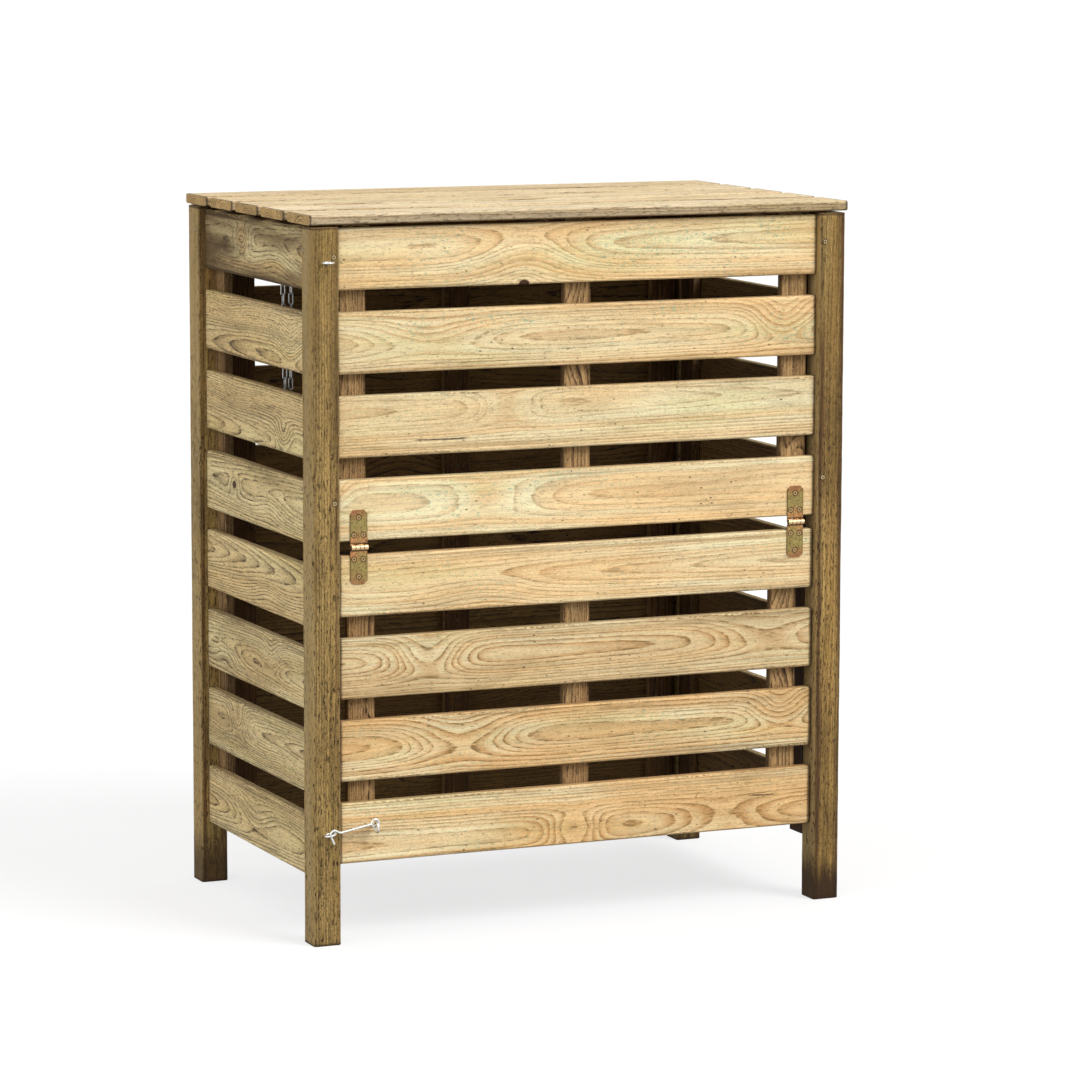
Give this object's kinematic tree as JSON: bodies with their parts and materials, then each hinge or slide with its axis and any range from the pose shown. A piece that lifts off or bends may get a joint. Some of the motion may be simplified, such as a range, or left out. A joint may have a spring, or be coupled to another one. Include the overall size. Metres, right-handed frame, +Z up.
{
  "type": "compost bin",
  "caption": "Slatted timber compost bin with a lift-up slatted lid on a stay chain and a hinged lower front flap held shut by a wire hook and eye.",
  "frame": {"origin": "on the ground, under the middle of the whole object's box", "axes": "+X to the right seen from the front, +Y from the front to the back, +Z up"},
  "size_m": [0.906, 0.5808, 1.119],
  "materials": {
    "post_wood": "rough sawn, pressure treated",
    "front_wood": "rough sawn, pale",
    "side_wood": "rough sawn, olive-brown",
    "lid_wood": "rough sawn, pale",
    "batten_wood": "rough sawn",
    "hinge_plate": "yellow passivated",
    "hinge_screw": "yellow passivated",
    "bright_wire": "bright zinc",
    "long_screw": "dull yellow passivated",
    "nail": "plain steel"
  },
  "bodies": {
    "frame": {"post_front_left": "post_wood", "post_front_right": "post_wood", "post_back_left": "post_wood", "post_back_right": "post_wood", "front_slat_1": "front_wood", "front_slat_2": "front_wood", "front_slat_3": "front_wood", "front_slat_4": "front_wood", "left_slat_1": "side_wood", "left_slat_2": "side_wood", "left_slat_3": "side_wood", "left_slat_4": "side_wood", "left_slat_5": "side_wood", "left_slat_6": "side_wood", "left_slat_7": "side_wood", "left_slat_8": "side_wood", "right_slat_1": "side_wood", "right_slat_2": "side_wood", "right_slat_3": "side_wood", "right_slat_4": "side_wood", "right_slat_5": "side_wood", "right_slat_6": "side_wood", "right_slat_7": "side_wood", "right_slat_8": "side_wood", "back_slats": "side_wood", "front_battens": "batten_wood", "back_battens": "batten_wood", "left_battens": "batten_wood", "right_battens": "batten_wood", "flap_hinge_upper_leaves": "hinge_plate", "lid_hinge_post_leaves": "hinge_plate", "hinge_pins": "hinge_screw", "hinge_screws_frame": "hinge_screw", "lower_eye": "bright_wire", "upper_eye": "bright_wire", "chain_screw_wall": "bright_wire", "post_screws": "long_screw", "panel_nails": "nail"},
    "flap": {"flap_slat_1": "front_wood", "flap_slat_2": "front_wood", "flap_slat_3": "front_wood", "flap_slat_4": "front_wood", "flap_battens": "batten_wood", "flap_nails": "nail", "flap_hinge_lower_leaves": "hinge_plate", "hinge_screws_flap": "hinge_screw", "flap_eye": "bright_wire"},
    "hook": {"hook": "bright_wire"},
    "lid": {"lid_board_1": "lid_wood", "lid_board_2": "lid_wood", "lid_board_3": "lid_wood", "lid_board_4": "lid_wood", "lid_board_5": "lid_wood", "lid_battens": "batten_wood", "lid_nails": "nail", "lid_hinge_lid_leaves": "hinge_plate", "hinge_screws_lid": "hinge_screw", "chain_screw_lid": "bright_wire"},
    "chain_strand_wall": {"chain_strand_wall": "bright_wire"},
    "chain_strand_lid": {"chain_strand_lid": "bright_wire"}
  },
  "joints": [
    {"name": "flap_swing", "type": "hinge", "parent": "frame", "child": "flap", "pos_m": [0, -0.26177, 0.61253], "axis": [-1, 0, 0], "range_deg": [0, 175.35]},
    {"name": "hook_swing", "type": "hinge", "parent": "flap", "child": "hook", "pos_m": [-0.35253, -0.27777, 0.18763], "axis": [0, 1, 0], "range_deg": [0, 110]},
    {"name": "lid_swing", "type": "hinge", "parent": "frame", "child": "lid", "pos_m": [0, 0.28642, 1.1015], "axis": [-1, 0, 0], "range_deg": [0, 95]},
    {"name": "chain_wall_swing", "type": "hinge", "parent": "frame", "child": "chain_strand_wall", "pos_m": [-0.4169, -0.05577, 1.078], "axis": [1, 0, 0], "range_deg": [0, 132.44]},
    {"name": "chain_lid_swing", "type": "hinge", "parent": "lid", "child": "chain_strand_lid", "pos_m": [-0.3951, -0.03977, 1.095], "axis": [1, 0, 0], "range_deg": [0, 51.07]}
  ],
  "couplings": [
    {"joint": "chain_wall_swing", "follows": "lid_swing", "ratio": 1.3888},
    {"joint": "chain_lid_swing", "follows": "lid_swing", "ratio": 0.5323}
  ]
}
